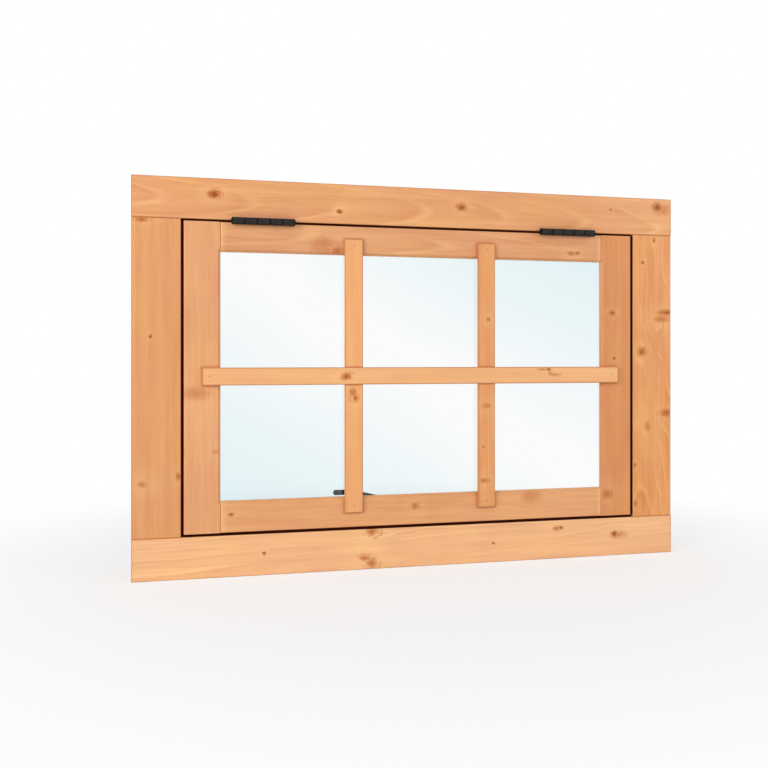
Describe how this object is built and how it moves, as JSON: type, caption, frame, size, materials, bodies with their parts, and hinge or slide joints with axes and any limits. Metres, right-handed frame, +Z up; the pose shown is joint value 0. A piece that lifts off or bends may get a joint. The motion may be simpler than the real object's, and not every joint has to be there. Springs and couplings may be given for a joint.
{
  "type": "top hung awning window",
  "caption": "Stained wooden top hung window: rebated frame, outward opening sash with planted glazing bars, butt hinges along the top and a lever fastener inside the bottom rail.",
  "frame": {"origin": "middle of the sill's underside, at mid depth of the frame", "axes": "+Z up, +X to the right seen from outside, +Y towards the room; the outside face looks along -Y"},
  "size_m": [0.93, 0.0837, 0.63],
  "materials": {
    "frame_wood": "satin orange-brown stain on spruce",
    "sash_wood": "satin orange-brown stain on spruce",
    "bead_wood": "satin orange-brown stain on spruce",
    "bar_wood": "satin orange-brown stain on spruce",
    "glass": "clear float glass with a faint blue cast",
    "hinge_steel": "satin black coating",
    "fastener_steel": "satin charcoal coating"
  },
  "bodies": {
    "root": {"frame_head": "frame_wood", "frame_sill": "frame_wood", "left_jamb": "frame_wood", "right_jamb": "frame_wood", "sash_left_stile": "sash_wood", "sash_right_stile": "sash_wood", "sash_top_rail": "sash_wood", "sash_bottom_rail": "sash_wood", "glass_pane": "glass", "bead_bottom": "bead_wood", "bead_right": "bead_wood", "bead_top": "bead_wood", "bead_left": "bead_wood", "upright_bar_left": "bar_wood", "upright_bar_right": "bar_wood", "cross_bar": "bar_wood", "left_hinge_frame_leaf": "hinge_steel", "left_hinge_sash_leaf": "hinge_steel", "left_hinge_pin": "hinge_steel", "right_hinge_frame_leaf": "hinge_steel", "right_hinge_sash_leaf": "hinge_steel", "right_hinge_pin": "hinge_steel", "fastener_plate": "fastener_steel", "fastener_lever": "fastener_steel", "fastener_pivot": "fastener_steel", "fastener_keeper": "fastener_steel"}
  },
  "joints": []
}
